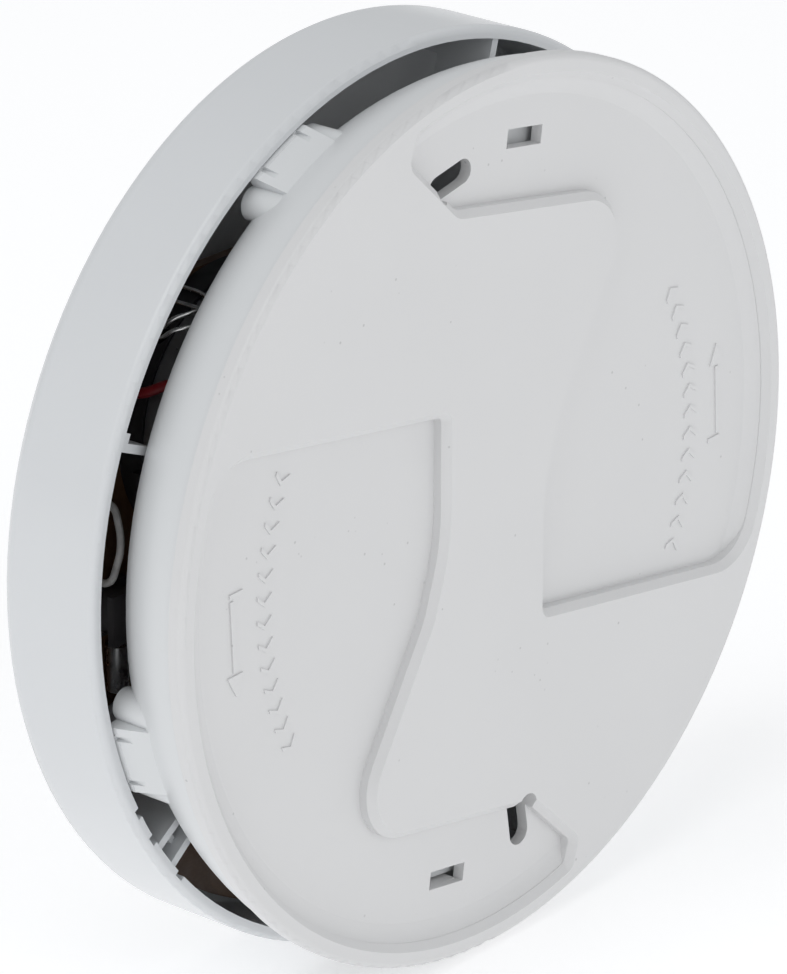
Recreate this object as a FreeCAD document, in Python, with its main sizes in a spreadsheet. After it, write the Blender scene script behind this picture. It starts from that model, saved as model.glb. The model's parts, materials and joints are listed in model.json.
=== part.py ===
"""Slim round smoke alarm on a twist-off wall plate.

The origin is the centre of the plate's wall face.  +Y points into the wall, so the alarm stands
out along -Y and its front faces -Y; +Z is up and +X is to the right of someone facing the alarm.
Lengths are millimetres.  "Depth" is the distance from the wall, so depth = -Y.
"""
import FreeCAD, Part
import math
import os
import re

import Sketcher
from FreeCAD import Placement, Rotation, Vector

doc = FreeCAD.newDocument("SmokeAlarm")
sheet = doc.addObject("Spreadsheet::Sheet", "Dimensions")

DIMENSIONS = {
    # wall plate
    "plate_radius": 62.75,
    "plate_skin": 1.7,
    "plate_rim_depth": 2.3,
    "plate_rim_width": 2.9,
    "plate_back_depth": 3.95,
    "plate_body_radius": 59.8,
    "plate_edge_round": 0.9,
    "sunk_depth": 2.25,
    "sunk_radius": 59.4,
    "sunk_slope": 1.0,
    "cove_radius": 57.0,
    "mark_height": 0.22,
    "mark_orbit": 44.6,
    "screw_orbit": 49.4,
    "screw_orbit_low": 47.9,
    "screw_slot_width": 3.4,
    "screw_slot_length": 8.6,
    "hook_orbit": 51.4,
    "hook_window_width": 7.2,
    "hook_window_height": 2.6,
    "hook_width": 6.4,
    "hook_stem": 1.9,
    "hook_lip_start": 6.9,
    "hook_lip_end": 8.2,
    "hook_gap": 0.35,
    "twist_angle": 15.0,
    # rear housing
    "housing_start": 2.5,
    "housing_end": 14.4,
    "housing_back_radius": 62.3,
    "housing_front_radius": 57.4,
    "housing_bulge": 0.9,
    "housing_wall": 1.6,
    "floor_start": 4.9,
    "floor_end": 6.5,
    "tab_radius": 61.5,
    "tab_start": 14.1,
    "tab_end": 15.7,
    "tab_nib": 0.5,
    "nib_start": 15.0,
    "nib_end": 15.6,
    "post_radius": 3.0,
    # front cover
    "cover_radius": 63.5,
    "cover_wall": 1.75,
    "cover_start": 14.7,
    "cover_edge_start": 28.4,
    "cover_edge_round": 2.6,
    "cover_end": 34.0,
    "cover_rim_round": 1.0,
    "rib_height": 4.0,
    "rib_foot_radius": 55.4,
    "rib_foot_gap": 0.5,
    "rib_thickness": 1.2,
    # circuit board and its screws
    "board_start": 24.5,
    "board_end": 26.1,
    "board_radius": 56.0,
    "board_lobe_radius": 60.2,
    "board_half_height": 38.4,
    "board_left": 11.5,
    "screw_radius": 1.05,
    "screw_head_radius": 2.1,
    "screw_head_height": 1.7,
    "screw_depth": 9.0,
    # sensing chamber
    "chamber_x": 27.5,
    "chamber_z": 18.5,
    "chamber_radius": 20.0,
    "chamber_start": 9.0,
    "chamber_cap_end": 10.4,
    "chamber_base_start": 20.4,
    "chamber_well": 9.0,
    "optic_depth": 22.4,
    "optic_radius": 1.5,
    "optic_lead_pitch": 2.54,
    # battery tray and cells
    "tray_x": 29.0,
    "tray_width": 30.4,
    "tray_length": 54.6,
    "tray_wall": 1.5,
    "tray_bottom": 20.0,
    "tray_end": 21.2,
    "contact_thickness": 0.4,
    "cell_radius": 7.1,
    "cell_length": 49.3,
    "cell_nub": 1.2,
    "cell_depth": 12.7,
    "cell_pitch": 14.8,
    # sounder
    "sounder_x": 34.5,
    "sounder_radius": 19.0,
    "sounder_wall": 1.4,
    "sounder_start": 21.3,
    "sounder_end": 29.2,
    "disc_start": 25.1,
    "disc_end": 25.5,
    "disc_radius": 17.3,
    # test button and switch
    "button_radius": 11.0,
    "button_gap": 0.3,
    "button_end": 35.0,
    "plunger_travel": 0.3,
    "plunger_radius": 1.7,
    "plunger_gap": 0.05,
    "switch_end": 29.7,
    "switch_width": 6.0,
    # status light
    "light_z": 22.0,
    "pipe_radius": 1.9,
    # wires
    "lead_radius": 0.7,
    "jumper_radius": 0.5,
    "thin_lead_radius": 0.3,
    "spring_wire_radius": 0.3,
}

FRONTWARD = Rotation(Vector(1, 0, 0), 90)  # turns local +Z to depth and local +Y to up
TAB_ANGLES = (64.0, 161.5, 244.0, 341.5)  # where the cover snaps to the housing, from +X up
RIB_ANGLES = (22.3, 106.6, 128.0, 202.3, 286.6, 321.6, 325.6)  # stiffening ribs in the cover
HOOK_ANGLE = 98.6  # the upper bayonet hook at rest; the other is opposite
SLOT_ANGLE = 81.2  # the upper screw slot; the lower one is opposite
NOTCH_ANGLES = (333.0, 328.0, 320.0)  # small notches in the cover's inner rim
POSTS = ((-7.5, 34.5), (-7.5, -34.5), (40.0, -32.0), (48.6, -20.0))  # board posts, x and z
EMITTER_ANGLE = 45.0  # where the light emitter lies round the chamber
SENSOR_ANGLE = 175.0  # and the light sensor
SUBPARTS = []


def fill_sheet():
    """Write every driving dimension into its own cell, with its name as the cell's alias."""
    for row, (name, number) in enumerate(DIMENSIONS.items(), start=1):
        sheet.set(f"A{row}", name)
        sheet.set(f"B{row}", str(number))
        sheet.setAlias(f"B{row}", name)
    doc.recompute()


fill_sheet()


def size(name):
    """The value that the sheet holds for one dimension."""
    return float(sheet.get(name))


def value(text):
    """What an expression over the sheet comes to now, as a number."""
    parts = str(text).split(" ")
    total = 0.0
    sign = 1.0
    for part in parts:
        if part in ("+", "-"):
            sign = 1.0 if part == "+" else -1.0
        else:
            total += sign * (size(part) if part[0].isalpha() else float(part))
    return total


def expression(text):
    """Turn 'cover_end - 2' into an expression that reads the sheet."""
    return re.sub(r"[a-z]+(_[a-z]+)+", lambda found: "Dimensions." + found.group(0), str(text))


def bind(item, **sizes):
    """Bind properties of an object to expressions over the sheet's dimensions."""
    for name, text in sizes.items():
        item.setExpression(name, expression(text))
    return item


def put(item, x, z, depth, turn=0.0):
    """Place an object at x, z and a depth, turned about its own axis by an angle in degrees."""
    spin = Rotation(Vector(0, 0, 1), turn)
    item.Placement = Placement(Vector(0, 0, 0), FRONTWARD * spin)
    item.setExpression("Placement.Base.x", expression(x))
    item.setExpression("Placement.Base.y", expression(f"-({depth})"))
    item.setExpression("Placement.Base.z", expression(z))
    return item


def subpart(item, label):
    """Give a finished solid its name and list it for export."""
    item.Label = label
    SUBPARTS.append(item)
    return item


def on_orbit(radius, angle):
    """x and z of a point at a radius and an angle from +X towards +Z."""
    radians = math.radians(angle)
    return radius * math.cos(radians), radius * math.sin(radians)


# --- solids along the depth axis -------------------------------------------------------------

def cylinder(radius, start, end, x=0, z=0, angle=360, turn=0.0):
    """A cylinder, or a sector of one, from one depth to another."""
    item = doc.addObject("Part::Cylinder", "Cylinder")
    bind(item, Radius=radius, Height=f"({end}) - ({start})", Angle=angle)
    return put(item, x, z, start, turn)


def cone(back_radius, front_radius, start, end, x=0, z=0):
    """A cone between two depths."""
    item = doc.addObject("Part::Cone", "Cone")
    bind(item, Radius1=back_radius, Radius2=front_radius, Height=f"({end}) - ({start})")
    return put(item, x, z, start)


def block(width, height, start, end, x=0, z=0, turn=0.0):
    """A box centred on x and z, from one depth to another, turned about its own middle."""
    item = doc.addObject("Part::Box", "Box")
    bind(item, Length=width, Width=height, Height=f"({end}) - ({start})")
    spin = Rotation(Vector(0, 0, 1), turn)
    item.Placement = Placement(Vector(0, 0, 0), FRONTWARD * spin)
    cosine = math.cos(math.radians(turn))
    sine = math.sin(math.radians(turn))
    corner_x = f"{x} - ({width}) / 2 * {cosine:.6f} + ({height}) / 2 * {sine:.6f}"
    corner_z = f"{z} - ({width}) / 2 * {sine:.6f} - ({height}) / 2 * {cosine:.6f}"
    item.setExpression("Placement.Base.x", expression(corner_x))
    item.setExpression("Placement.Base.y", expression(f"-({start})"))
    item.setExpression("Placement.Base.z", expression(corner_z))
    return item


def fuse(*items):
    """Join solids that touch."""
    item = doc.addObject("Part::MultiFuse", "Fuse")
    item.Shapes = list(items)
    item.Refine = True
    return item


def cut(base, *tools):
    """Take solids away from a base."""
    item = doc.addObject("Part::Cut", "Cut")
    item.Base = base
    item.Tool = tools[0] if len(tools) == 1 else fuse(*tools)
    item.Refine = True
    return item


def common(first, second):
    """Keep what two solids share."""
    item = doc.addObject("Part::Common", "Common")
    item.Base = first
    item.Tool = second
    return item


def group(*items):
    """Hold separate solids together in one sub-part, such as a set of screws."""
    item = doc.addObject("Part::Compound", "Group")
    item.Links = list(items)
    return item


def tube(outer, inner, start, end, x=0, z=0):
    """A ring between two radii."""
    return cut(cylinder(outer, start, end, x, z), cylinder(inner, f"{start} - 1", f"{end} + 1", x, z))


def sector(outer, inner, start, end, middle, span, x=0, z=0):
    """A piece of a ring round x and z, centred on an angle."""
    outside = cylinder(outer, start, end, x, z, angle=span, turn=middle - span / 2)
    return cut(outside, cylinder(inner, f"{start} - 1", f"{end} + 1", x, z))


def lying(radius, start, end, x, z, depth, angle):
    """A cylinder across the depth: it runs from one distance to another from x and z, at an angle."""
    item = doc.addObject("Part::Cylinder", "Lying")
    bind(item, Radius=radius, Height=f"({end}) - ({start})")
    cosine, sine = on_orbit(1.0, angle)
    item.Placement = Placement(Vector(0, 0, 0), Rotation(Vector(0, 0, 1), Vector(cosine, 0, sine)))
    item.setExpression("Placement.Base.x", expression(f"{x} + ({start}) * {cosine:.6f}"))
    item.setExpression("Placement.Base.y", expression(f"-({depth})"))
    item.setExpression("Placement.Base.z", expression(f"{z} + ({start}) * {sine:.6f}"))
    return item


def nearest_edge(item, x, z, depth):
    """The number of the round edge whose middle is nearest to a point."""
    doc.recompute()
    target = Vector(value(x), -value(depth), value(z))
    distances = []
    for index, edge in enumerate(item.Shape.Edges, start=1):
        if isinstance(edge.Curve, Part.Circle):
            distances.append(((edge.Curve.Center - target).Length, index))
    return min(distances)[1]


def fillet(base, edge, radius):
    """Round one edge of a solid."""
    item = doc.addObject("Part::Fillet", "Fillet")
    item.Base = base
    item.Edges = [(edge, value(radius), value(radius))]
    return item


def wire(radius_name, points):
    """A round wire through points (x, z, depth): straight runs joined by tangent arcs."""
    corners = [Vector(x, -depth, z) for x, z, depth in points]
    edges = []
    here = corners[0]
    for before, corner, after in zip(corners, corners[1:], corners[2:]):
        shorter = min((before - corner).Length, (after - corner).Length)
        half_turn = (math.pi - (before - corner).getAngle(after - corner)) / 2
        start, middle, end = round_corner(before, corner, after, 0.45 * shorter / math.tan(half_turn))
        edges.append(Part.LineSegment(here, start).toShape())
        edges.append(Part.Arc(start, middle, end).toShape())
        here = end
    edges.append(Part.LineSegment(here, corners[-1]).toShape())
    path = Part.Wire(edges)
    section = Part.Wire(Part.makeCircle(size(radius_name), corners[0], corners[1] - corners[0]))
    solid = path.makePipeShell([section], True, False)
    expected = math.pi * size(radius_name) ** 2 * path.Length
    if abs(solid.Volume - expected) > 0.01 * expected:
        raise RuntimeError(f"a wire has volume {solid.Volume:.2f}, not {expected:.2f}")
    item = doc.addObject("Part::Feature", "Wire")
    item.Shape = solid
    item.Placement = Placement()
    return item


def coil(radius, length, turns, towards):
    """A spring as a round wire; towards turns a point on its helix into x, z and depth."""
    steps = 10 * turns
    points = []
    for step in range(steps + 1):
        angle = 2 * math.pi * turns * step / steps
        points.append(towards(radius * math.cos(angle), radius * math.sin(angle), length * step / steps))
    return wire("spring_wire_radius", points)


# --- Part Design helpers ---------------------------------------------------------------------

def new_body(label):
    """A body whose own +Z runs along the depth and whose +Y is up."""
    item = doc.addObject("PartDesign::Body", "Body")
    item.Placement = Placement(Vector(0, 0, 0), FRONTWARD)
    item.Label = label
    return item


def new_sketch(body, role, depth="0"):
    """A sketch on one of the body's own origin planes, moved along that plane's normal."""
    item = body.newObject("Sketcher::SketchObject", "Sketch")
    plane = [feature for feature in body.Origin.OriginFeatures if feature.Role == role][0]
    item.AttachmentSupport = (plane, "")
    item.MapMode = "FlatFace"
    item.setExpression("AttachmentOffset.Base.z", expression(depth))
    return item


def draw_circle(sketch, radius, x="0", z="0"):
    """Draw a circle whose radius and centre are bound to the sheet."""
    edge = sketch.addGeometry(Part.Circle(Vector(1, 1, 0), Vector(0, 0, 1), 1.0), False)
    centre = 3
    for kind, text in (("Radius", radius), ("DistanceX", x), ("DistanceY", z)):
        places = (edge,) if kind == "Radius" else (-1, 1, edge, centre)
        index = sketch.addConstraint(Sketcher.Constraint(kind, *places, 1.0))
        sketch.setExpression(f"Constraints[{index}]", expression(text))


def draw_outline(sketch, edges):
    """Draw a closed outline whose corners were worked out from the sheet, and hold it in place."""
    first = sketch.GeometryCount
    sketch.addGeometry(edges, False)
    for index in range(first, first + len(edges)):
        sketch.addConstraint(Sketcher.Constraint("Block", index))


def pad(body, sketch, length):
    """Add material along the depth."""
    item = body.newObject("PartDesign::Pad", "Pad")
    item.Profile = sketch
    item.Reversed = False
    return bind(item, Length=length)


def pocket(body, sketch, length):
    """Take material away along the depth."""
    item = body.newObject("PartDesign::Pocket", "Pocket")
    item.Profile = sketch
    item.Reversed = True
    return bind(item, Length=length)


def revolve(body, sketch):
    """Turn a profile all the way round the body's own depth axis."""
    item = body.newObject("PartDesign::Revolution", "Revolution")
    item.Profile = sketch
    item.ReferenceAxis = (sketch, ["V_Axis"])
    item.Angle = 360
    return item


def line(start, end):
    """A straight edge between two points of an outline."""
    return Part.LineSegment(Vector(*start, 0), Vector(*end, 0))


def arc(start, middle, end):
    """A round edge through three points of an outline."""
    return Part.Arc(Vector(*start, 0), Vector(*middle, 0), Vector(*end, 0))


def slot(x, z, angle, length, width):
    """A slot with round ends, centred on x and z, as a closed outline."""
    along = Vector(math.cos(math.radians(angle)), math.sin(math.radians(angle)), 0)
    across = Vector(-along.y, along.x, 0) * (width / 2)
    centre = Vector(x, z, 0)
    head = centre + along * ((length - width) / 2)
    tail = centre - along * ((length - width) / 2)
    reach = along * (width / 2)
    return [
        Part.LineSegment(tail + across, head + across),
        Part.Arc(head + across, head + reach, head - across),
        Part.LineSegment(head - across, tail - across),
        Part.Arc(tail - across, tail - reach, tail + across),
    ]


def rectangle(x, z, angle, width, height):
    """A rectangle centred on x and z, as a closed outline."""
    along = Vector(math.cos(math.radians(angle)), math.sin(math.radians(angle)), 0) * (width / 2)
    across = Vector(-along.y, along.x, 0).normalize() * (height / 2)
    centre = Vector(x, z, 0)
    corners = [
        centre - along - across,
        centre + along - across,
        centre + along + across,
        centre - along + across,
    ]
    return [Part.LineSegment(corners[i - 1], corners[i]) for i in range(4)]


def round_corner(before, corner, after, radius):
    """Where a rounded corner starts, its middle and where it ends."""
    back = (before - corner).normalize()
    ahead = (after - corner).normalize()
    half = back.getAngle(ahead) / 2
    reach = radius / math.tan(half)
    middle = corner + (back + ahead).normalize() * (radius / math.sin(half) - radius)
    return corner + back * reach, middle, corner + ahead * reach


def rounded_path(start, corners, radii, end):
    """Straight sides from start to end, with a rounded corner at each point between them."""
    points = [start] + [Vector(*corner, 0) for corner in corners] + [end]
    edges = []
    here = start
    for index, radius in enumerate(radii, start=1):
        corner = round_corner(points[index - 1], points[index], points[index + 1], radius)
        edges.append(Part.LineSegment(here, corner[0]))
        edges.append(Part.Arc(*corner))
        here = corner[2]
    edges.append(Part.LineSegment(here, end))
    return edges


def rounded(points, radius):
    """A closed outline with straight sides and equal round corners."""
    start = (Vector(*points[-1], 0) + Vector(*points[0], 0)) / 2
    return rounded_path(start, points, [radius] * len(points), start)


# --- wall plate ------------------------------------------------------------------------------

def rim_corner(start, toward, rim_radius, corner_radius, side):
    """Round the corner where a straight side from start meets the rim's circle.

    side is 1 where the sunk area lies to the left of the side, and -1 to the right."""
    origin = Vector(*start, 0)
    along = Vector(*toward, 0).normalize()
    inward = Vector(-along.y, along.x, 0) * side
    base = origin + inward * corner_radius
    reach = rim_radius - corner_radius
    distance = -base.dot(along) + math.sqrt(base.dot(along) ** 2 - base.dot(base) + reach ** 2)
    centre = base + along * distance
    on_side = origin + along * distance
    on_rim = centre * (rim_radius / centre.Length)
    middle = centre + ((on_side - centre) + (on_rim - centre)).normalize() * corner_radius
    return on_side, middle, on_rim


def sunk_outline(sign):
    """The floor of one sunk area: the one at +X and below for sign 1, its opposite for -1."""
    corners = [
        (10.66, 17.1),
        (10.66, -0.6),
        (14.1, -10.85),
        (30.8, -38.4),
        (-8.0, -45.1),
        (-17.2, -53.9),
    ]
    radii = [0.8, 30.0, 12.0, 8.0, 3.0, 1.2]
    rim = size("sunk_radius")
    top = rim_corner(corners[0], (1.0, 0.151), rim, 7.0, -1)
    bottom = rim_corner(corners[-1], (0.3, -0.95), rim, 0.8, 1)
    edges = rounded_path(top[0], corners, radii, bottom[0])
    angles = [math.atan2(point.y, point.x) for point in (top[2], bottom[2])]
    rim_middle = Vector(*on_orbit(rim, math.degrees(sum(angles) / 2)), 0)
    edges.append(Part.Arc(*bottom))
    edges.append(Part.Arc(bottom[2], rim_middle, top[2]))
    edges.append(Part.Arc(top[2], top[1], top[0]))
    if sign < 0:
        for edge in edges:
            edge.rotate(Placement(Vector(0, 0, 0), Rotation(Vector(0, 0, 1), 180)))
    return edges


def marks():
    """On each sunk floor, an arrow and a row of chevrons: which way the alarm turns to come off."""
    sketch = doc.addObject("Sketcher::SketchObject", "MarkSketch")
    orbit = size("mark_orbit")
    outlines = []
    for step in range(13):
        angle = -27.0 + 4.15 * step
        chevron = [(-1.4, 0.5), (0.0, -0.6), (1.4, 0.5), (1.4, 1.1), (0.0, 0.0), (-1.4, 1.1)]
        outlines.append((orbit, angle, chevron))
    arrow_orbit = orbit + 6.0
    outlines.append((arrow_orbit, -3.0, [(-0.35, -3.6), (0.35, -3.6), (0.35, 6.4), (-0.35, 6.4)]))
    outlines.append((arrow_orbit, -3.0, [(-1.5, -4.0), (0.0, -7.0), (1.5, -4.0)]))
    outlines.append((arrow_orbit, -3.0, [(-2.2, 6.8), (0.35, 6.8), (0.35, 7.4), (-2.2, 7.4)]))
    for half_turn in (0.0, 180.0):
        for radius, angle, points in outlines:
            turn = Rotation(Vector(0, 0, 1), angle + half_turn)
            corners = [turn.multVec(Vector(radius + x, y, 0)) for x, y in points]
            sides = [Part.LineSegment(corners[i - 1], corners[i]) for i in range(len(corners))]
            draw_outline(sketch, sides)
    raised = doc.addObject("Part::Extrusion", "Marks")
    raised.Base = sketch
    raised.DirMode = "Normal"
    raised.Solid = True
    bind(raised, LengthFwd="mark_height + 0.3")
    return put(raised, 0, 0, "sunk_depth - mark_height")


def mounting_plate():
    """The round plate that is screwed to the wall or ceiling, with its bayonet hooks."""
    body = new_body("plate_body")
    disc = new_sketch(body, "XY_Plane")
    draw_circle(disc, "plate_body_radius")
    pad(body, disc, "plate_back_depth")
    rim = new_sketch(body, "XY_Plane")
    draw_circle(rim, "plate_radius")
    draw_circle(rim, "plate_radius - plate_rim_width - 1")
    pad(body, rim, "plate_rim_depth")
    for sign in (1, -1):
        floor = new_sketch(body, "XY_Plane")
        draw_outline(floor, sunk_outline(sign))
        tip = pocket(body, floor, "sunk_depth")
    doc.recompute()
    sunk_edges = []
    for index, edge in enumerate(tip.Shape.Edges, start=1):
        box = edge.BoundBox
        flat = abs(box.ZMin) < 1e-6 and abs(box.ZMax) < 1e-6
        radii = [math.hypot(vertex.X, vertex.Y) for vertex in edge.Vertexes]
        if flat and max(radii) < size("sunk_radius") + 0.1:
            sunk_edges.append(f"Edge{index}")
    slope = body.newObject("PartDesign::Chamfer", "Slope")
    slope.Base = (tip, sunk_edges)
    bind(slope, Size="sunk_slope")
    doc.recompute()
    outer_edges = []
    for index, edge in enumerate(slope.Shape.Edges, start=1):
        radii = [math.hypot(vertex.X, vertex.Y) for vertex in edge.Vertexes]
        level = abs(edge.BoundBox.ZMax) < 1e-6
        if level and min(radii) > size("plate_radius") - 0.01:
            outer_edges.append(f"Edge{index}")
    edge_round = body.newObject("PartDesign::Fillet", "EdgeRound")
    edge_round.Base = (slope, outer_edges)
    bind(edge_round, Radius="plate_edge_round")
    cove = new_sketch(body, "XZ_Plane")
    inner = size("cove_radius")
    outer = size("sunk_radius") + size("sunk_slope") - 0.2
    low = size("sunk_depth")
    high = low - 1.9
    bend = ((inner + outer) / 2 + 0.18, (low + high) / 2 + 0.3)
    draw_outline(
        cove,
        [
            arc((inner, low), bend, (outer, high)),
            line((outer, high), (outer, low + 1.0)),
            line((outer, low + 1.0), (inner, low + 1.0)),
            line((inner, low + 1.0), (inner, low)),
        ],
    )
    revolve(body, cove)
    holes = new_sketch(body, "XY_Plane", "-0.5")
    slot_length = size("screw_slot_length")
    slot_width = size("screw_slot_width")
    upper_slot = on_orbit(size("screw_orbit"), SLOT_ANGLE)
    lower_slot = on_orbit(size("screw_orbit_low"), SLOT_ANGLE + 180.0)
    draw_outline(holes, slot(*upper_slot, SLOT_ANGLE - 93.0, slot_length, slot_width))
    draw_outline(holes, slot(*lower_slot, SLOT_ANGLE, slot_length, slot_width + 0.4))
    for angle in (HOOK_ANGLE, HOOK_ANGLE + 180.0):
        window = (size("hook_window_width"), size("hook_window_height"))
        draw_outline(holes, rectangle(*on_orbit(size("hook_orbit"), angle), angle - 90.0, *window))
    pocket(body, holes, "plate_back_depth + 1")
    core = new_sketch(body, "XY_Plane", "plate_back_depth")
    draw_outline(core, rounded([(-8, -36), (8, -36), (8, 36), (-8, 36)], 3.0))
    for sign in (1, -1):
        corner_area = [(-13.0, -21.5), (-49.5, -27.0), (-23.5, -49.5), (-13.0, -44.0)]
        draw_outline(core, rounded([(sign * x, sign * z) for x, z in corner_area], 3.0))
    hollow = pocket(body, core, "plate_back_depth - plate_skin")
    hollow.Reversed = False
    hooks = []
    for angle in (HOOK_ANGLE, HOOK_ANGLE + 180.0):
        lip_inner = "hook_orbit - hook_window_height / 2 + 0.1"
        stem_inner = "hook_orbit + hook_window_height / 2"
        stem_outer = "hook_orbit + hook_window_height / 2 + hook_stem"
        span = math.degrees(size("hook_width") / size("hook_orbit"))
        hook = sector(stem_outer, lip_inner, "plate_back_depth - 0.5", "hook_lip_end", angle, span)
        hooks.append(cut(hook, cylinder(stem_inner, "plate_back_depth - 1", "hook_lip_start")))
    subpart(fuse(body, marks(), *hooks), "mounting_plate")


# --- rear housing ----------------------------------------------------------------------------

def housing_shell():
    """The tapering outer wall and the floor of the rear housing, as one turned profile."""
    body = new_body("housing_shell")
    sketch = new_sketch(body, "XZ_Plane")
    back = size("housing_start")
    front = size("housing_end")
    wide = size("housing_back_radius")
    narrow = size("housing_front_radius")
    wall = size("housing_wall")
    middle = ((wide + narrow) / 2 + size("housing_bulge"), (back + front) / 2)
    floor_back = size("floor_start")
    floor_front = size("floor_end")
    inside_back = wide - wall + 0.1
    inside_front = narrow - wall
    inside_middle = (middle[0] - wall + 0.1, (floor_front + front) / 2)
    draw_outline(
        sketch,
        [
            arc((wide, back), middle, (narrow, front)),
            line((narrow, front), (inside_front, front)),
            arc((inside_front, front), inside_middle, (inside_back - 1.2, floor_front)),
            line((inside_back - 1.2, floor_front), (0, floor_front)),
            line((0, floor_front), (0, floor_back)),
            line((0, floor_back), (inside_back - 0.4, floor_back)),
            line((inside_back - 0.4, floor_back), (inside_back, back)),
            line((inside_back, back), (wide, back)),
        ],
    )
    revolve(body, sketch)
    return body


def housing_holes():
    """The openings in the housing's floor: the bayonet slots, with room for the screw heads."""
    tools = []
    for half_turn in (0.0, 180.0):
        x, z = on_orbit(49.0, SLOT_ANGLE + half_turn)
        tools.append(cylinder("8.6", "floor_start - 1", "floor_end + 1", f"{x:.3f}", f"{z:.3f}"))
        half_hook = math.degrees(size("hook_width") / size("hook_orbit")) / 2
        stop = HOOK_ANGLE + half_turn + half_hook + size("hook_gap")
        span = size("twist_angle") + 2 * half_hook
        outer = "hook_orbit + hook_window_height / 2 + hook_stem + hook_gap"
        inner = "hook_orbit + hook_window_height / 2 - hook_gap"
        tools.append(sector(outer, inner, "floor_start - 1", "floor_end + 1", stop - span / 2, span))
    return tools


def cover_tab(angle):
    """One tab that reaches from the housing's front edge to the cover, with a nib that snaps in."""
    inner = "housing_front_radius - 1.5"
    shelf = sector("tab_radius", inner, "tab_start", "tab_end", angle, 10.0)
    nib = sector("tab_radius + tab_nib", "tab_radius - 0.5", "nib_start", "nib_end", angle, 6.0)
    flare_start = "tab_start - 5.2"
    flare = common(
        cone("housing_front_radius + 2.6", "tab_radius", flare_start, "tab_start + 0.2"),
        sector("tab_radius + 1", "housing_front_radius - 0.6", flare_start, "tab_end", angle, 10.0),
    )
    pieces = [shelf, nib, flare]
    for side in (-1, 1):
        x, z = on_orbit(size("housing_front_radius") + 0.4, angle + side * 6.2)
        pieces.append(cylinder("2.3", "tab_start - 4.2", "tab_end", f"{x:.4f}", f"{z:.4f}"))
    holes = []
    for side in (-3.4, 3.4):
        x, z = on_orbit(size("tab_radius") - 0.1, angle + side)
        holes.append(block("0.9", "0.8", "tab_start - 3", "nib_start - 0.1", x, z, angle))
    return [cut(fuse(*pieces), *holes)]


def rear_housing():
    """The housing that turns on the plate: it holds the batteries, the board and the cover."""
    outer_width = "tray_width + 2 * tray_wall"
    outer_length = "tray_length + 2 * tray_wall"
    tray = block(outer_width, outer_length, "floor_start", "tray_end", "-tray_x")
    posts = [cylinder("post_radius", "floor_end - 0.5", "board_start", x, z) for x, z in POSTS]
    tabs = []
    for angle in TAB_ANGLES:
        tabs.extend(cover_tab(angle))
    ribs = []
    for sign in (1, -1):
        place = (2.0, sign * 18.0, sign * 20.0)
        ribs.append(block("1.2", "16", "floor_end - 0.5", "floor_end + 2.0", *place))
    solid = fuse(housing_shell(), tray, *posts, *tabs, *ribs)
    hollow = block("tray_width", "tray_length", "floor_start - 1", "tray_bottom", "-tray_x")
    pilots = []
    for x, z in POSTS:
        pilot_start = "board_start - screw_depth - 1"
        pilots.append(cylinder("screw_radius + 0.05", pilot_start, "board_start + 1", x, z))
    notches = []
    for side in (1, -1):
        x = f"-tray_x + {side} * cell_pitch / 2"
        notches.append(block("3.0", "4.0", "7.4", "9.6", x, "tray_length / 2 + tray_wall / 2"))
    subpart(cut(solid, hollow, *pilots, *notches, *housing_holes()), "rear_housing")


# --- front cover -----------------------------------------------------------------------------

def dome():
    """Radius and centre depth of the front face, which is tangent to the cover's edge round."""
    reach = size("cover_radius") - size("cover_edge_round")
    drop = size("cover_end") - size("cover_edge_start")
    edge_round = size("cover_edge_round")
    radius = (reach ** 2 + drop ** 2 - edge_round ** 2) / (2 * (drop - edge_round))
    return radius, size("cover_end") - radius


def cover_shell():
    """The straight side, the edge round and the dome of the front cover, as one turned profile."""
    body = new_body("cover_shell")
    sketch = new_sketch(body, "XZ_Plane")
    outer = size("cover_radius")
    wall = size("cover_wall")
    start = size("cover_start")
    rim = size("cover_rim_round")
    edge = size("cover_edge_round")
    edge_start = size("cover_edge_start")
    dome_radius, dome_centre = dome()
    edge_centre = Vector(outer - edge, edge_start, 0)
    outward = (edge_centre - Vector(0, dome_centre, 0)).normalize()
    tilt = (outward + Vector(1, 0, 0)).normalize()
    half = math.sqrt(0.5)

    def along_edge(radius, direction):
        """A point on the edge round, or on the same round further in."""
        point = edge_centre + direction * radius
        return point.x, point.y

    def along_dome(radius, share):
        """A point on the dome, or under it, from the middle (0) to the edge round (1)."""
        angle = math.atan2(outward.x, outward.y) * share
        return radius * math.sin(angle), dome_centre + radius * math.cos(angle)

    inside = outer - wall
    under = dome_radius - wall
    rim_middle = (outer - rim * (1 - half), start + rim * (1 - half))
    draw_outline(
        sketch,
        [
            line((inside, start), (outer - rim, start)),
            arc((outer - rim, start), rim_middle, (outer, start + rim)),
            line((outer, start + rim), (outer, edge_start)),
            arc((outer, edge_start), along_edge(edge, tilt), along_edge(edge, outward)),
            arc(along_edge(edge, outward), along_dome(dome_radius, 0.5), (0, size("cover_end"))),
            line((0, size("cover_end")), (0, size("cover_end") - wall)),
            arc((0, size("cover_end") - wall), along_dome(under, 0.5), along_edge(edge - wall, outward)),
            arc(along_edge(edge - wall, outward), along_edge(edge - wall, tilt), (inside, edge_start)),
            line((inside, edge_start), (inside, start)),
        ],
    )
    revolve(body, sketch)
    return body


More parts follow.
